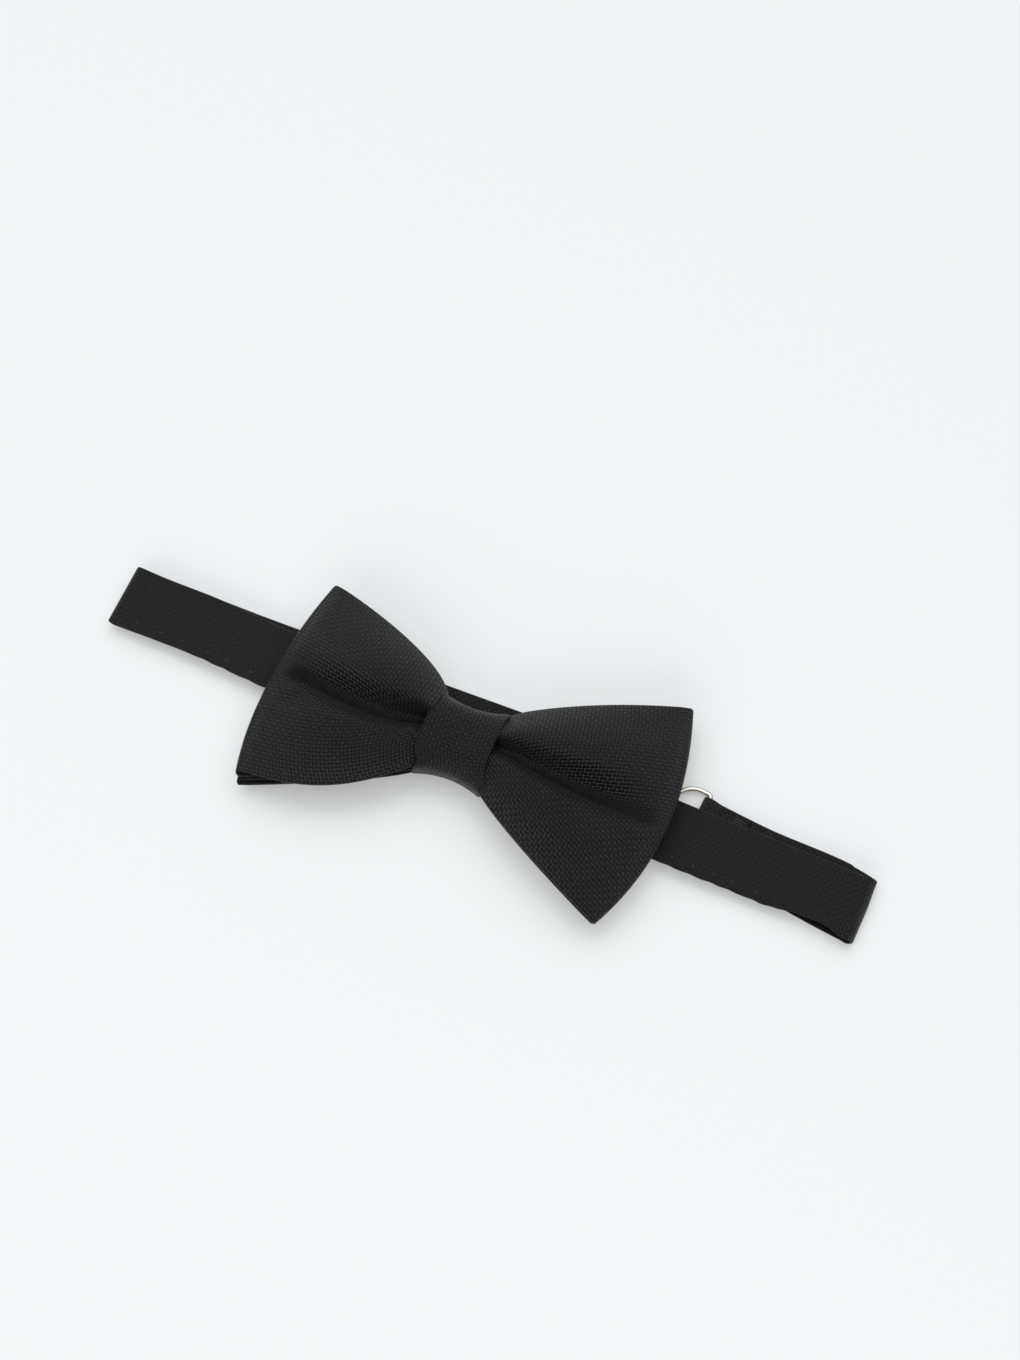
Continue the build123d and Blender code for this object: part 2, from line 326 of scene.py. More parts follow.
# Each wing: the mean reach of its two corners, the outer edge's slant and its bulge beyond them,
# and for its top and bottom edge the height at the tip and how early the edge spreads.
WINGS = {
    1: {"tip": 56.9, "slant": 2.6, "bulge": 7.3, "top": (34.2, 0.78), "bottom": (36.4, 0.76)},
    -1: {"tip": 55.5, "slant": -1.9, "bulge": 3.4, "top": (33.9, 0.58), "bottom": (30.8, 2.6)},
}
# The valley's course across each wing: its place, its slope outwards, and how far it swings
# towards the top near the knot and over what share of the wing.
VALLEYS = {1: (-0.15, 0.02, 0.32, 0.20), -1: (-0.20, 0.26, 0.46, 0.15)}
COLUMNS = 65
WING_ROWS = 68
FOLD_ROWS = 4
# Column 0.5 is the valley, so the columns crowd towards it.
COLUMN = np.linspace(0, 1, COLUMNS)


def valley_place(side, u):
    """Where the valley runs across a wing, between -1 at the bottom edge and 1 at the top."""
    start, slope, swing, reach = VALLEYS[side]
    return start + slope * u + swing * np.exp(-u / reach)


def spread(t, early):
    """How far an edge has spread at a share of the wing's length.

    It spreads evenly when early is 1, and sooner the further early is from 1.
    """
    return 1 - (1 - np.clip(t, 0, 1)) ** early if early > 1 else t**early


def wing_place(side, u, bottom=None, shrink=0.0):
    """Plan position and lobe coordinates of a wing's points, u from the waist to the outer edge.

    bottom is the bottom edge's shape where it isn't the front face's.  The lobe coordinate is 0 in
    the valley, 1 at the top edge and -1 at the bottom edge.
    """
    wing = WINGS[side]
    c = COLUMN[None, :]
    lobe = np.sign(c - 0.5) * (2 * np.abs(c - 0.5)) ** 1.12
    valley = valley_place(side, u)
    v = np.where(lobe > 0, valley + lobe * (1 - valley), valley + lobe * (1 + valley))
    end = wing["tip"] + wing["slant"] * v + wing["bulge"] * (1 - v**2) * (1 - 0.2 * v) - shrink
    x = WAIST_X + (end - WAIST_X) * u
    t = u * (wing["tip"] - WAIST_X - shrink) / TIP_REACH
    halves = []
    for tip, early in (wing["top"], bottom or wing["bottom"]):
        halves.append(WAIST_HALF + (tip - shrink - WAIST_HALF) * spread(t, early))
    y = np.where(v > 0, v * halves[0], v * halves[1])
    return side * x, y, v + 0 * u, lobe + 0 * u


def front_height(side, u, v, lobe):
    """Height of the front strip's face over its base: two lobes with a valley between them.

    crest is a lobe's height along the wing, floor the valley's, and edge that of the long edges.
    """
    crest = 1.4 + 6.7 * np.sin(math.pi * np.clip(0.14 + 0.86 * u, 0, 1)) ** 0.8
    crest = crest - 0.9 * np.exp(-u / 0.08)
    floor = 0.1 + (crest - 0.1) * smoothstep(0.55, 1.04, u) ** 1.5
    edge = 0.9 + 1.9 * np.sin(math.pi * u) ** 0.8
    sharp = 1.15 + 0.7 * smoothstep(0.0, 0.6, u)
    full_edge = edge + 1.5 * np.exp(-u / 0.25)
    heights = []
    for middle, crest_at, rise, edge_z, bend in (
        (lobe, 0.36, 1.0, edge, 1.9),
        (-lobe, 0.24, 0.84, full_edge, 2.4),
    ):
        p = np.clip(middle, 0, 1)
        climb = np.sin(np.clip(p / crest_at, 0, 1) * math.pi / 2) ** sharp
        fall = 1 - np.clip((p - crest_at) / (1 - crest_at), 0, 1) ** bend
        top = crest * rise
        outer = edge_z + (top - edge_z) * fall
        heights.append(np.where(p < crest_at, floor + (top - floor) * climb, outer))
    z = np.where(lobe > 0, heights[0], heights[1])
    # The wing dips under the knot's edge.
    z = z - 1.3 * np.exp(-((u / 0.085) ** 2))
    ripple = 0.28 * np.sin(11 * v + 2.5 * side) * np.exp(-u / 0.2)
    ripple = ripple + 0.20 * np.sin(5.0 * u + 3.1 * v + side) * np.sin(math.pi * u)
    # A low second ridge lies in each valley's outer half.
    ridge_at = valley_place(side, u) - 0.10
    ridge = smoothstep(0.35, 0.62, u) * smoothstep(1.0, 0.85, u)
    ripple = ripple + 0.85 * ridge * np.exp(-(((v - ridge_at) / 0.055) ** 2))
    if side < 0:
        # Small slack folds where the two lobes meet near the left wing's outer edge.
        near = np.exp(-(((u - 0.88) / 0.13) ** 2) - ((v + 0.02) / 0.22) ** 2)
        ripple = ripple + 0.42 * near * np.sin(27 * v + 6 * u)
    return z + ripple


def rear_height(side, u, v, lobe):
    """Height of the rear strip's face over its base: nearly flat."""
    return 0.5 * np.sin(math.pi * u) * (1 - v**2) + 0.15 * np.sin(3 * v + 5 * u)


def droop(y):
    """The wings sag a little where they stand out beyond the band."""
    return -0.0026 * np.clip(np.abs(y) - BAND_HALF, 0, None) ** 2


def loop_rows(side, shape, base_z, gap, bottom, shrink):
    """Rows of one wing of a loop, from the waist to the outer fold, on its upper or lower face."""
    u = np.linspace(0, 1, WING_ROWS)[:, None] ** 0.95
    x, y, v, lobe = wing_place(side, u, bottom, shrink)
    z = base_z + droop(y) + (shape(side, u, v, lobe) if shape else 0.0)
    pinch = 0.5 + 0.5 * smoothstep(1.0, 0.94, u)
    z = z + (gap / 2 if shape else -gap / 2) * pinch
    return np.stack([x, y, z + 0 * x], axis=-1)


def fold_rows(last_upper, last_lower, side):
    """Rows that carry the strip round its outer fold, from one face to the other."""
    rows = []
    middle = (last_upper + last_lower) / 2
    half = (last_upper - last_lower) / 2
    for n in range(1, FOLD_ROWS + 1):
        a = math.pi * n / (FOLD_ROWS + 1)
        row = middle + half * math.cos(a)
        row[:, 0] += side * np.abs(half[:, 2]) * math.sin(a) * 0.9
        rows.append(row)
    return rows


def waist_rows(start, end):
    """Rows inside the knot, where the waist thread draws the strip in."""
    rows = []
    for share in (0.25, 0.5, 0.75):
        row = start + (end - start) * share
        draw = 1 - 0.35 * math.sin(math.pi * share)
        row[:, 2] = WAIST_Z + (row[:, 2] - WAIST_Z) * draw
        row[:, 1] *= 1 - 0.10 * math.sin(math.pi * share)
        rows.append(row)
    return rows


def bow_loop(base_z, gap, shape, bottoms, shrink):
    """The middle surface of one bow strip, a closed loop with a wing at each end.

    bottoms holds the bottom edge of each wing's upper and lower face, where it isn't the front's.
    """
    faces = {}
    for side in (1, -1):
        upper, lower = bottoms[side]
        faces[(side, "upper")] = loop_rows(side, shape, base_z, gap, upper, shrink)
        faces[(side, "lower")] = loop_rows(side, None, base_z, gap, lower, shrink)
    rows = list(faces[(1, "upper")])
    rows += fold_rows(faces[(1, "upper")][-1], faces[(1, "lower")][-1], 1)
    rows += list(faces[(1, "lower")][::-1])
    rows += waist_rows(faces[(1, "lower")][0], faces[(-1, "lower")][0])
    rows += list(faces[(-1, "lower")])
    rows += fold_rows(faces[(-1, "lower")][-1], faces[(-1, "upper")][-1], -1)
    rows += list(faces[(-1, "upper")][::-1])
    rows += waist_rows(faces[(-1, "upper")][0], faces[(1, "upper")][0])
    return np.array(rows)


def bow_weave(loop):
    """Weave coordinates of a bow loop: rows of the weave follow both long edges of the strip."""
    s = arc_length(loop, 0)
    width = arc_length(loop, 1)
    total = width[:, -1:]
    cut = float(np.max(total))
    from_top = cut - (total - width)
    share = smoothstep(0.47, 0.58, COLUMN)[None, :]
    return s, width * (1 - share) + from_top * share


# ---------------------------------------------------------------- camera, light and floor

SKY_BRIGHT = Vector((-0.10, 0.22, 0.97)).normalized()
SKY_DIM = 0.05
SKY_RANGE = 2.25
SKY_POWER = 3.5
SKY_COLOUR = (0.955, 0.975, 1.0, 1)
KEY_WATTS = 12.0
FILL_WATTS = 22.0
VIEW_AZIMUTH = math.radians(24.45)
VIEW_ELEVATION = math.radians(68.4)
VIEW_DISTANCE = 569.5 * MM
AIM_BEYOND = 23.0 * MM  # the camera aims a little past the object, which sits low in the picture
AIM_LEFT = 1.3 * MM  # of the object's middle
AIM_HEIGHT = 5 * MM


def make_camera():
    """The camera at the picture's viewing angle."""
    low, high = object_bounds()
    aim = Vector(((low.x + high.x) / 2 - AIM_LEFT, AIM_BEYOND, AIM_HEIGHT))
    a, e = VIEW_AZIMUTH, VIEW_ELEVATION
    back = Vector((math.sin(a) * math.cos(e), -math.cos(a) * math.cos(e), math.sin(e)))
    data = bpy.data.cameras.new("camera")
    data.lens = 50
    data.clip_start = 0.01
    camera = bpy.data.objects.new("camera", data)
    camera.location = aim + back * VIEW_DISTANCE
    camera.rotation_euler = back.to_track_quat("Z", "Y").to_euler()
    bpy.context.scene.collection.objects.link(camera)
    bpy.context.scene.camera = camera


def make_area(name, place, aim, size, power):
    """A soft area light at a place, facing a point."""
    data = bpy.data.lights.new(name, "AREA")
    data.shape = "RECTANGLE"
    data.size, data.size_y = size
    data.energy = power
    light = bpy.data.objects.new(name, data)
    light.location = place
    light.rotation_euler = (Vector(place) - Vector(aim)).to_track_quat("Z", "Y").to_euler()
    bpy.context.scene.collection.objects.link(light)
    return light


def make_sky():
    """Studio light from all round, brightest nearly overhead and dim towards the floor."""
    world = bpy.data.worlds.new("studio")
    world.use_nodes = True
    tree = world.node_tree
    place = tree.nodes.new("ShaderNodeTexCoord")
    toward = tree.nodes.new("ShaderNodeVectorMath")
    toward.operation = "DOT_PRODUCT"
    toward.inputs[1].default_value = SKY_BRIGHT
    ramp = tree.nodes.new("ShaderNodeMapRange")
    ramp.inputs["From Min"].default_value = -0.1
    ramp.inputs["From Max"].default_value = 1.0
    power = tree.nodes.new("ShaderNodeMath")
    power.operation = "POWER"
    power.inputs[1].default_value = SKY_POWER
    strength = tree.nodes.new("ShaderNodeMath")
    strength.operation = "MULTIPLY_ADD"
    strength.inputs[1].default_value = SKY_RANGE
    strength.inputs[2].default_value = SKY_DIM
    background = tree.nodes["Background"]
    background.inputs["Color"].default_value = SKY_COLOUR
    tree.links.new(place.outputs["Generated"], toward.inputs[0])
    tree.links.new(toward.outputs["Value"], ramp.inputs["Value"])
    tree.links.new(ramp.outputs["Result"], power.inputs[0])
    tree.links.new(power.outputs[0], strength.inputs[0])
    tree.links.new(strength.outputs[0], background.inputs["Strength"])
    bpy.context.scene.world = world


def make_stage():
    """A pale floor, the sky, a key light above and behind, and a fill light in front."""
    bpy.ops.mesh.primitive_plane_add(size=8)
    floor = bpy.context.object
    floor.name = "floor"
    floor.data.materials.append(floor_material())
    floor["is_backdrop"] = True
    make_sky()
    bpy.context.scene.view_settings.view_transform = "Standard"
    make_area("key", (-0.5, 0.9, 2.7), (0, 0, 0), (1.6, 1.2), KEY_WATTS)
    fill = make_area("fill", (0.2, -1.9, 1.0), (0, 0, 0), (2.4, 1.2), FILL_WATTS)
    fill.visible_glossy = False


# ---------------------------------------------------------------- materials


class Nodes:
    """Short calls for the node tree of one material."""

    def __init__(self, name):
        self.material = bpy.data.materials.new(name)
        self.material.use_nodes = True
        self.tree = self.material.node_tree
        self.shader = self.tree.nodes["Principled BSDF"]

    def add(self, kind, **values):
        """A node with some of its properties set."""
        node = self.tree.nodes.new(kind)
        for key, value in values.items():
            setattr(node, key, value)
        return node

    def join(self, source, target):
        """A link, or a plain value, into an input socket."""
        if isinstance(source, (int, float)):
            target.default_value = source
        else:
            self.tree.links.new(source, target)

    def math(self, operation, *values):
        """The result of one Math node."""
        node = self.add("ShaderNodeMath", operation=operation)
        for socket, value in zip(node.inputs, values):
            self.join(value, socket)
        return node.outputs[0]

    def mix(self, factor, a, b):
        """A colour between two colours."""
        node = self.add("ShaderNodeMix", data_type="RGBA")
        self.join(factor, node.inputs["Factor"])
        for socket, value in ((node.inputs[6], a), (node.inputs[7], b)):
            if isinstance(value, tuple):
                socket.default_value = (*value, 1)
            else:
                self.join(value, socket)
        return node.outputs[2]

    def noise(self, vector, scale, detail):
        """A noise value at a scale."""
        node = self.add("ShaderNodeTexNoise")
        node.inputs["Scale"].default_value = scale
        node.inputs["Detail"].default_value = detail
        self.join(vector, node.inputs["Vector"])
        return node.outputs["Fac"]

    def bump(self, height, distance, strength=1.0, normal=None):
        """A bump normal from a height between 0 and 1."""
        node = self.add("ShaderNodeBump")
        node.inputs["Strength"].default_value = strength
        node.inputs["Distance"].default_value = distance
        self.join(height, node.inputs["Height"])
        if normal is not None:
            self.join(normal, node.inputs["Normal"])
        return node.outputs["Normal"]

    def set(self, **values):
        """Values that are the same all over, set on the shader itself."""
        for key, value in values.items():
            self.shader.inputs[key.replace("_", " ")].default_value = value


def floor_material():
    """Pale matt paper with the faintest grain; a faint glow of its own keeps its shadows light."""
    n = Nodes("pale_floor")
    place = n.add("ShaderNodeTexCoord").outputs["Object"]
    grain = n.noise(place, 900, 3)
    paper = n.mix(grain, (0.530, 0.538, 0.538), (0.546, 0.553, 0.553))
    n.join(paper, n.shader.inputs["Base Color"])
    n.join(n.bump(grain, 0.00002), n.shader.inputs["Normal"])
    n.set(Roughness=0.85, Emission_Strength=0.26)
    n.shader.inputs["Emission Color"].default_value = (0.985, 1.0, 1.0, 1)
    return n.material


def woven_material(name, cell, gap_shade, light, relief, gloss):
    """A basket weave of small raised cells, alternately warp and weft, with fine threads.

    cell and relief are in millimetres, and gloss is the roughness on a cell's crown.  The two
    colours are painted shade in the gaps between cells and the painted lit colour of the crowns.
    """
    n = Nodes(name)
    uv = n.add("ShaderNodeUVMap", uv_map="weave").outputs["UV"]
    split = n.add("ShaderNodeSeparateXYZ")
    n.join(uv, split.inputs[0])
    along = n.math("DIVIDE", split.outputs[0], cell * MM)
    across = n.math("DIVIDE", split.outputs[1], cell * MM)
    wander = n.noise(uv, 160, 1)
    along = n.math("ADD", along, n.math("MULTIPLY", wander, 0.5))
    parity = n.math("ADD", n.math("FLOOR", along), n.math("FLOOR", across))
    parity = n.math("FLOORED_MODULO", parity, 2.0)
    a = n.math("SUBTRACT", n.math("FRACT", along), 0.5)
    b = n.math("SUBTRACT", n.math("FRACT", across), 0.5)
    # A warp cell crowns along the strip and is flat across it; a weft cell the other way.
    crowns = []
    for place in (a, b):
        off_centre = n.math("ABSOLUTE", n.math("MULTIPLY", place, 2.0))
        crowns.append(n.math("SUBTRACT", 1.0, n.math("POWER", off_centre, 2.5)))
    crown_a, crown_b = crowns
    threads_a = n.math("ABSOLUTE", n.math("SINE", n.math("MULTIPLY", a, 3 * math.pi)))
    threads_b = n.math("ABSOLUTE", n.math("SINE", n.math("MULTIPLY", b, 3 * math.pi)))
    warp = n.math("MULTIPLY", crown_a, n.math("ADD", 0.75, n.math("MULTIPLY", threads_b, 0.25)))
    weft = n.math("MULTIPLY", crown_b, n.math("ADD", 0.46, n.math("MULTIPLY", threads_a, 0.2)))
    warp = n.math("MULTIPLY", warp, n.math("POWER", crown_b, 0.5))
    weft = n.math("MULTIPLY", weft, n.math("POWER", crown_a, 0.5))
    height = n.math(
        "ADD",
        n.math("MULTIPLY", warp, parity),
        n.math("MULTIPLY", weft, n.math("SUBTRACT", 1.0, parity)),
    )
    uneven = n.noise(uv, 90, 3)
    # The colour is painted shade and highlight.  It is darker in the gaps between the cells and
    # between their threads, where shade falls, and lighter on the crowns.  The lower weft cells are
    # painted darker than the warp cells in place of the yarns' sheen.  The noise adds uneven tone.
    tone = n.math("MULTIPLY", height, n.math("ADD", 0.75, n.math("MULTIPLY", uneven, 0.5)))
    n.join(n.mix(tone, gap_shade, light), n.shader.inputs["Base Color"])
    rough = n.math("SUBTRACT", gloss + GAP_ROUGHER, n.math("MULTIPLY", height, GAP_ROUGHER))
    n.join(rough, n.shader.inputs["Roughness"])
    fuzz = n.noise(uv, 5200, 2)
    fine = n.bump(fuzz, 0.00002, 0.5)
    n.join(n.bump(height, relief * MM, 1.0, fine), n.shader.inputs["Normal"])
    n.set(Sheen_Weight=0.03, Sheen_Roughness=0.45, Specular_IOR_Level=0.37)
    n.shader.inputs["Sheen Tint"].default_value = (0.72, 0.78, 0.86, 1)
    return n.material


def thread_material():
    """Twisted black sewing thread."""
    n = Nodes("twisted_thread")
    place = n.add("ShaderNodeTexCoord").outputs["Object"]
    wave = n.add("ShaderNodeTexWave", bands_direction="DIAGONAL")
    wave.inputs["Scale"].default_value = 900
    n.join(place, wave.inputs["Vector"])
    twist = n.mix(wave.outputs["Fac"], (0.010, 0.010, 0.011), (0.030, 0.031, 0.034))
    n.join(twist, n.shader.inputs["Base Color"])
    n.join(n.bump(wave.outputs["Fac"], 0.00004), n.shader.inputs["Normal"])
    n.set(Roughness=0.5, Sheen_Weight=0.2)
    return n.material


def metal_material():
    """Satin nickel with a warm cast, fine scuffs and brighter rubbed places."""
    n = Nodes("satin_nickel")
    place = n.add("ShaderNodeTexCoord").outputs["Object"]
    scuff = n.noise(place, 2400, 4)
    cloud = n.noise(place, 260, 2)
    tone = n.mix(cloud, (0.60, 0.555, 0.475), (0.74, 0.70, 0.62))
    n.join(tone, n.shader.inputs["Base Color"])
    n.join(n.math("ADD", 0.24, n.math("MULTIPLY", scuff, 0.22)), n.shader.inputs["Roughness"])
    n.join(n.bump(scuff, 0.00001), n.shader.inputs["Normal"])
    n.set(Metallic=1.0)
    return n.material


def finish(obj, material, body=None):
    """Give a piece its material and the body that it rides on."""
    obj.data.materials.clear()
    obj.data.materials.append(material)
    if body:
        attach(obj, body)
    return obj


bow_cloth = woven_material("bow_weave", WEAVE_CELL, CLOTH_GAP_SHADE, CLOTH_LIT_CROWN, 0.46, 0.20)
band_cloth = woven_material("band_weave", BAND_CELL, CLOTH_GAP_SHADE, CLOTH_LIT_CROWN, 0.34, 0.22)
thread = thread_material()
metal = metal_material()

# ---------------------------------------------------------------- building the bow and knot


def make_bow():
    """The front and rear strips of the bow."""
    front_edges = {1: (None, (36.4, 0.82)), -1: (None, (32.7, 1.0))}
    rear_edges = {1: ((36.2, 0.98), (35.6, 1.0)), -1: ((33.3, 0.84), (34.4, 0.80))}
    front = bow_loop(FRONT_BASE_Z, FRONT_GAP, front_height, front_edges, 0.0)
    rear = bow_loop(REAR_BASE_Z, REAR_GAP, rear_height, rear_edges, REAR_INSET)
    for name, loop, nodes, flat, area in (
        ("front_bow", front, ("front_bow_strip", "front_bow_interlining"), FRONT_CUT, FRONT_AREA),
        ("rear_bow", rear, ("rear_bow_strip", "rear_bow_interlining"), REAR_CUT, REAR_AREA),
    ):
        s, t = bow_weave(loop)
        piece = cloth_solid(name, set_down(loop), STRIP_THICK, s, t, closed=True)
        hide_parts(*nodes)
        finish(piece, bow_cloth, "root")


def knot_surface():
    """The wrap's middle surface: a flattened tube round the waist, flared at both edges."""
    turns, across = 120, 37
    angle = np.linspace(0, 2 * math.pi, turns, endpoint=False)
    w = np.linspace(-1, 1, across)
    angle, w = np.meshgrid(angle, w, indexing="ij")
    power = 2 / KNOT_SQUARENESS
    cy = np.sign(np.cos(angle)) * np.abs(np.cos(angle)) ** power
    sz = np.sign(np.sin(angle)) * np.abs(np.sin(angle)) ** power
    flare = np.abs(w) ** 2.0
    half_y = KNOT_HALF_HEIGHT + KNOT_FLARE * flare
    back = KNOT_BACK_Z + 0.45
    hollow = 0.35 * np.exp(-((w * 2.2) ** 2)) * (1 - cy**2)
    front = KNOT_FRONT_Z - 0.7 + 0.1 * flare - 0.5 * cy - hollow
    z = (front + back) / 2 + (front - back) / 2 * sz
    # The front face sits a little to the left, swings right at its foot and widens to its top.
    on_front = smoothstep(-0.2, 0.8, np.sin(angle))
    lean = 2.6 * smoothstep(-0.45, -1.0, cy) - 0.9
    half_x = 10.5 + 0.9 * smoothstep(0.1, 1.0, cy)
    x = (lean + w * half_x) * on_front + w * 10.3 * (1 - on_front)
    y = half_y * cy
    return np.stack([x, y, z], axis=-1)


def make_knot():
    """The knot wrap."""
    surface = knot_surface()
    s = arc_length(surface, 0)
    t = arc_length(surface, 1)
    middle = surface.shape[1] // 2
    t = t - t[:, middle : middle + 1]
    piece = cloth_solid("knot", set_down(surface), KNOT_THICK, s, t, closed=True)
    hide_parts("knot_wrap", "knot_interlining")
    finish(piece, bow_cloth, "root")


def make_bow_threads():
    """The thread wound round the waist, and the hand stitches that close the knot behind."""
    turns = []
    angles = np.linspace(0, 2 * math.pi, 48, endpoint=False)
    for x in np.linspace(-1.8, 1.8, WAIST_TURNS):
        loop = [
            (
                x + 0.3 * math.sin(a),
                WINDING_HALF_HEIGHT * math.copysign(abs(math.cos(a)) ** 0.5, math.cos(a)),
                WAIST_Z + WINDING_HALF_DEPTH * math.copysign(abs(math.sin(a)) ** 0.5, math.sin(a)),
            )
            for a in angles
        ]
        turns.append(set_down(np.array(loop)))
    wound = thread_mesh("waist_winding", turns, WAIST_THREAD_RADIUS, closed=True)
    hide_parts("waist_thread")
    finish(wound, thread, "root")
    paths = []
    for x in np.linspace(-9, 9, CLOSING_STITCHES):
        stitch = [
            (x - 0.6, -0.9, KNOT_BACK_Z),
            (x, 0, KNOT_BACK_Z - 0.12),
            (x + 0.6, 0.9, KNOT_BACK_Z),
        ]
        paths.append(set_down(np.array(stitch)))
    closing = thread_mesh("knot_closing_stitches", paths, STITCH_RADIUS)
    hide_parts("knot_back_stitches")
    finish(closing, thread, "root")


# ---------------------------------------------------------------- building the neckband


def band_surface(stations, half=None, stitches=()):
    """A strip's middle surface from stations (x, y, z, yaw) along its centre line.

    stitches are distances along it where a hidden stitch dimples the cloth near its lower edge
    and draws that edge in.
    """
    half = BAND_HALF if half is None else half
    stations = np.array(stations, float)
    w = np.linspace(-1, 1, BAND_COLUMNS)[None, :]
    steps = np.linalg.norm(np.diff(stations[:, :3], axis=0), axis=1)
    run = np.concatenate([[0], np.cumsum(steps)])[:, None]
    dimple, pull = 0 * run * w, 0 * run
    for place in stitches:
        near = np.exp(-(((run - place) / 0.9) ** 2))
        dimple = dimple + near * np.exp(-(((w + 1) * half - STITCH_INSET) / 0.9) ** 2)
        pull = pull + np.exp(-(((run - place) / 1.6) ** 2))
    reach = w * half + STITCH_PUCKER * pull * np.clip(-w, 0, 1) ** 3
    x = stations[:, 0:1] - reach * np.sin(stations[:, 3:4])
    y = stations[:, 1:2] + reach * np.cos(stations[:, 3:4])
    z = stations[:, 2:3] - STITCH_DIMPLE * dimple
    return np.stack([x, y, z], axis=-1)


def upper_centre(x):
    """Centre line of the band's upper run, which wavers a little and lies lower in the knot.

    It also dips beside the right wing, and sags between there and the right fold.
    """
    y = (BOW_DROP + 0.6) * math.exp(-((x / 26) ** 2)) + 0.18 * math.sin(x / 7.5)
    y -= 1.2 * math.exp(-(((x - 64) / 20) ** 2))
    y += 0.35 * math.exp(-(((x + 92) / 12) ** 2)) - 0.3 * math.exp(-(((x - 104) / 9) ** 2))
    z = UPPER_Z + 0.12 * math.sin(x / 11 + 1)
    z -= UPPER_SAG * math.exp(-(((x - 97) / 15) ** 2))
    return y, z


def run_stations(x_from, x_to, centre, yaw):
    """Stations along a straight run at an even step."""
    count = max(2, int(abs(x_to - x_from) / BAND_STEP) + 1)
    return [(x, *centre(x), yaw) for x in np.linspace(x_from, x_to, count)]


def fold_stations(x, y_from, y_to, z_centre, radius, yaw_to, side):
    """Stations round a U-turn at a fold, from the upper run to the lower one."""
    stations = []
    for n in range(1, FOLD_STEPS):
        a = math.pi * n / FOLD_STEPS
        share = n / FOLD_STEPS
        reach = radius * math.sin(a) * side
        z = z_centre + radius * math.cos(a)
        stations.append((x + reach, y_from + (y_to - y_from) * share, z, yaw_to * share))
    return stations


def make_band_piece(name, stations, half=None, stitches=(), grain=0.0, shape=None):
    """One length of the neckband as a flat cloth tube; grain turns the weave on it.

    shape, if given, changes the middle surface's grid of points in place.
    """
    surface = band_surface(stations, half, stitches)
    if shape:
        shape(surface)
    along = arc_length(surface, 0)
    across = arc_length(surface, 1)
    s = along * math.cos(grain) - across * math.sin(grain)
    t = across * math.cos(grain) + along * math.sin(grain)
    piece = cloth_solid(name, surface, BAND_THICK, s, t)
    return finish(piece, band_cloth)


def make_edge_stitches(name, centre, places):
    """Short stitches near the band's lower edge, each in its dimple."""
    paths = []
    for x in places:
        y, z = centre(x)
        y += STITCH_INSET - BAND_HALF
        z += BAND_THICK / 2 - STITCH_DIMPLE
        paths.append([(x - 0.5, y, z), (x, y + 0.05, z + 0.06), (x + 0.5, y, z)])
    piece = thread_mesh(name, paths, EDGE_STITCH_RADIUS)
    finish(piece, thread, "root")


def left_centre(z):
    """Centre line of the left lower run at a height."""
    return lambda x: (
        (x - LEFT_FOLD_X) * math.tan(LEFT_YAW) + 0.12 * math.sin(x / 9),
        z + 0.06 * math.sin(x / 10),
    )


def right_centre(z):
    """Centre line of the right lower run at a height."""
    return lambda x: (
        RIGHT_SHIFT + (x - RIGHT_FOLD_X) * math.tan(RIGHT_YAW) + 0.12 * math.sin(x / 8),
        z,
    )


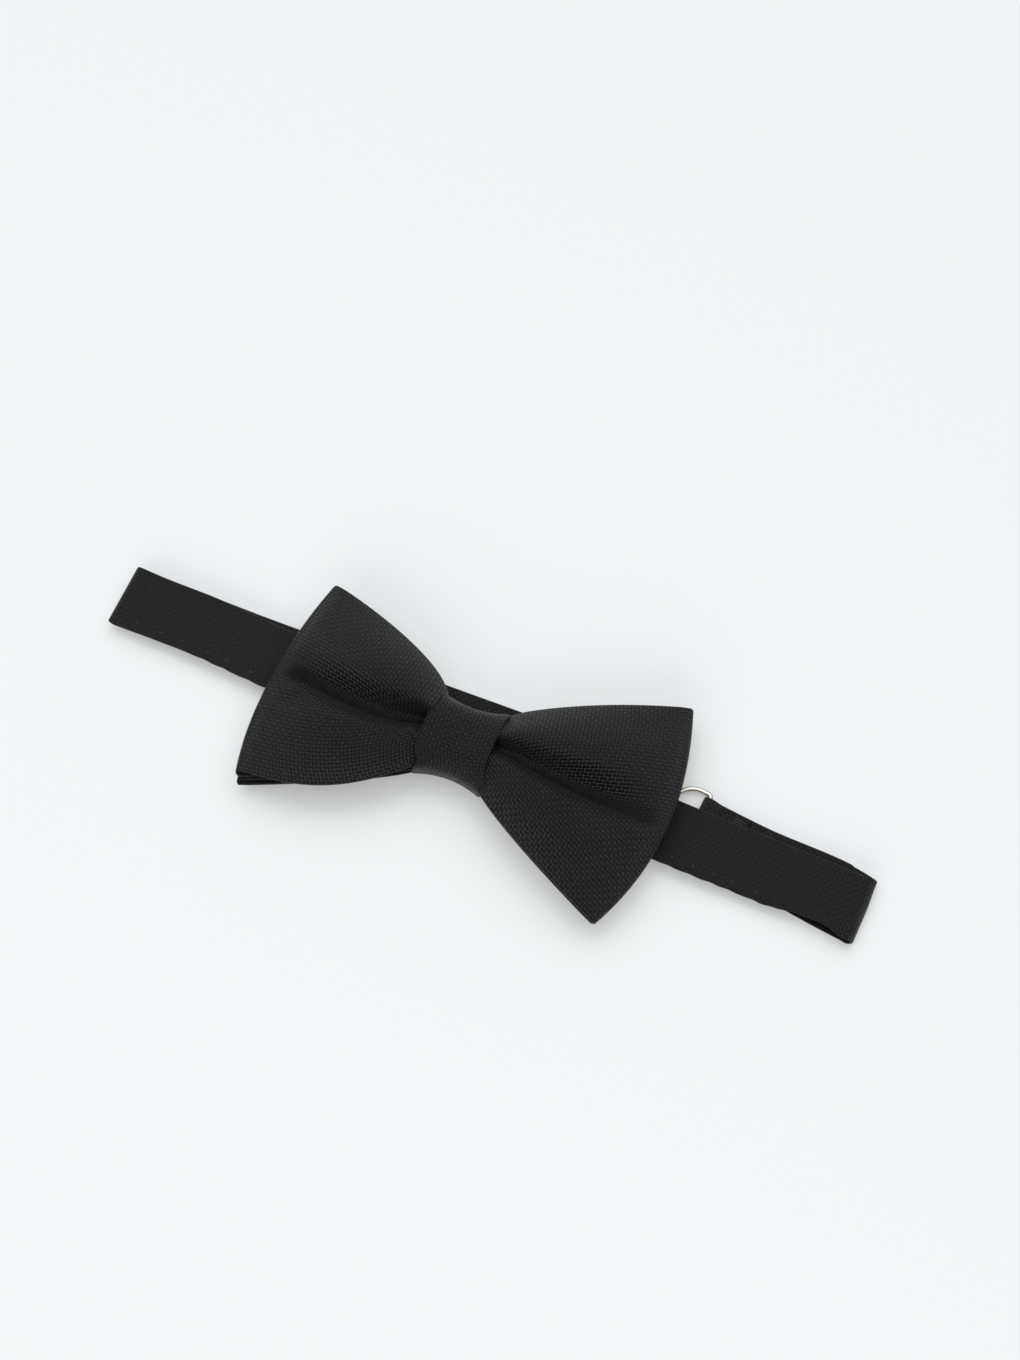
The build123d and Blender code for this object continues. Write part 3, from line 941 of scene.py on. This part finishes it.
def make_left_band():
    """The upper run left of the knot, the left fold and the adjusting strap, in one length."""
    radius = (UPPER_Z - RUNNING_Z) / 2
    stations = run_stations(0.5, LEFT_FOLD_X, upper_centre, 0.0)
    y_top = stations[-1][1]
    stations += fold_stations(LEFT_FOLD_X, y_top, 0.0, LEFT_FOLD_Z, radius, LEFT_YAW, -1)
    stations += run_stations(LEFT_FOLD_X + 0.3, strap_high[0], left_centre(RUNNING_Z), LEFT_YAW)
    dimples = 0.5 - np.array(LEFT_STITCHES)
    piece = make_band_piece("band_left", stations, stitches=dimples, grain=WEAVE_TURN)
    make_edge_stitches("left_edge_stitches", upper_centre, LEFT_STITCHES)
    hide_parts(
        "neckband_upper",
        "neckband_upper_interlining",
        "left_fold",
        "adjusting_strap",
        "adjusting_strap_interlining",
    )
    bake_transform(piece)


def make_right_band():
    """The upper run right of the knot, the right fold and the run back to the ring."""
    lower_z = (ring_strap_low[2] + ring_strap_high[2]) / 2
    radius = (UPPER_Z - lower_z) / 2
    stations = run_stations(-0.5, RIGHT_FOLD_X, upper_centre, 0.0)
    y_top = stations[-1][1]
    stations += fold_stations(
        RIGHT_FOLD_X, y_top, RIGHT_SHIFT, RIGHT_FOLD_Z, radius, RIGHT_YAW, 1
    )
    stations += run_stations(RIGHT_FOLD_X - 0.5, RING_BAR[0], right_centre(lower_z), RIGHT_YAW)
    upper_count = int(RIGHT_FOLD_X / BAND_STEP) + 1

    def open_the_end(surface):
        """Spread the lower run near the fold, round its top corner and part the upper run from it."""
        w = np.linspace(-1, 1, surface.shape[1])[None, :]
        x = surface[..., 0]
        lower = np.clip((np.arange(len(surface)) - upper_count - 4) / 8, 0, 1)[:, None]
        near = smoothstep(RIGHT_FOLD_X - 34, RIGHT_FOLD_X - 6, x)
        corner = smoothstep(RIGHT_FOLD_X - 7, RIGHT_FOLD_X, x) * np.clip(w, 0, 1) ** 2
        surface[..., 1] += lower * near * (0.1 + 1.2 * w)
        surface[..., 0] -= 3.6 * lower * corner
        end = smoothstep(RIGHT_FOLD_X - 26, RIGHT_FOLD_X - 14, x)
        end = end * smoothstep(RIGHT_FOLD_X - 1, RIGHT_FOLD_X - 7, x)
        gape = (1 - lower) * end * np.clip(-w - 0.35, 0, 1) / 0.65
        surface[..., 1] += 1.2 * gape
        surface[..., 2] += 0.9 * gape

    piece = make_band_piece(
        "band_right",
        stations,
        stitches=np.array(RIGHT_STITCHES) + 0.5,
        grain=-WEAVE_TURN,
        shape=open_the_end,
    )
    make_edge_stitches("right_edge_stitches", upper_centre, RIGHT_STITCHES)
    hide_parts("neckband_upper", "right_fold", "ring_strap", "ring_strap_interlining")
    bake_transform(piece)


def along_right(distance):
    """A point of the right lower run's centre line, at a distance from the ring's bar."""
    return (
        RING_BAR[0] + distance * math.cos(RIGHT_YAW),
        RING_BAR[1] + distance * math.sin(RIGHT_YAW),
    )


def along_left(distance):
    """A point of the left lower run's centre line, at a distance from the hook's bar."""
    return (
        HOOK_BAR[0] + distance * math.cos(LEFT_YAW),
        HOOK_BAR[1] + distance * math.sin(LEFT_YAW),
    )


def make_ring_end():
    """The band's end, folded round the ring's bar and sewn down."""
    radius = RING_BAR[2] - BAND_THICK / 2
    stations = []
    for n in range(TURN_STEPS + 1):
        a = -math.pi / 2 - math.pi * n / TURN_STEPS
        x, y = along_right(radius * math.cos(a))
        stations.append((x, y, RING_BAR[2] + radius * math.sin(a), RIGHT_YAW))
    low_z = 1.5 * BAND_THICK + 0.08
    for d in np.linspace(0.8, 13.8, 14):
        x, y = along_right(d)
        z = low_z + (RING_BAR[2] + radius - low_z) * (1 - smoothstep(0.4, 5.0, d))
        stations.append((x, y, float(z), RIGHT_YAW))
    piece = make_band_piece("ring_end", stations, half=END_HALF)
    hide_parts("ring_strap_loop")
    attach(piece, "right_run")


def make_hook_turn():
    """The adjusting strap's last stretch, its turn round the hook's bar and its way back."""
    radius = HOOK_BAR[2] - BAND_THICK / 2
    lead = []
    start = strap_high[0] - HOOK_BAR[0] - 0.2
    for d in np.linspace(start, 0, 26):
        x, y = along_left(d)
        lead.append((x, y, HOOK_BAR[2] + radius, LEFT_YAW))
    turn = []
    for n in range(1, TURN_STEPS + 1):
        a = math.pi / 2 - math.pi * n / TURN_STEPS
        x, y = along_left(radius * math.cos(a))
        turn.append((x, y, HOOK_BAR[2] + radius * math.sin(a), LEFT_YAW))
    piece = make_band_piece("strap_turn", lead + turn)
    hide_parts("adjusting_strap_end", "strap_hook_turn")
    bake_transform(piece)
    back = []
    stop = slider_loop_high[0] - 2.5 - HOOK_BAR[0]
    for d in np.linspace(0, stop, 60):
        x, y = along_left(d)
        back.append((x, y, RETURN_Z, LEFT_YAW))
    piece = make_band_piece("return_run", back)
    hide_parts("return_strap")
    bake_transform(piece)


def make_slider_loop():
    """The strap's end, folded round the slider's centre bar."""
    middle_z = (slider_loop_low[2] + slider_loop_high[2]) / 2
    radius = middle_z - BAND_THICK / 2
    bar_x = slider_loop_low[0] + middle_z + 1.0
    stations = []
    centre = bar_x - HOOK_BAR[0]
    for d in np.linspace(8.2, 0.2, 8):
        x, y = along_left(centre + d)
        stations.append((x, y, middle_z - radius, LEFT_YAW))
    for n in range(TURN_STEPS + 1):
        a = -math.pi / 2 - math.pi * n / TURN_STEPS
        x, y = along_left(centre + radius * math.cos(a))
        stations.append((x, y, middle_z + radius * math.sin(a), LEFT_YAW))
    for d in np.linspace(0.8, 7.4, 8):
        x, y = along_left(centre + d)
        stations.append((x, y, middle_z + radius - 0.25 * smoothstep(1, 6, d), LEFT_YAW))
    piece = make_band_piece("slider_loop", stations, half=END_HALF)
    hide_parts("slider_strap_loop")
    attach(piece, "slider")


make_bow()
make_knot()
make_bow_threads()
make_left_band()
make_right_band()
make_ring_end()
make_hook_turn()
make_slider_loop()

for material, nodes in (
    (metal, ("hook", "eye_ring", "slider_frame")),
    (thread, ("slider_bar_tack", "ring_bar_tack")),
):
    for node in nodes:
        frame["nodes"][node].data.materials.clear()
        frame["nodes"][node].data.materials.append(material)

make_stage()
make_camera()
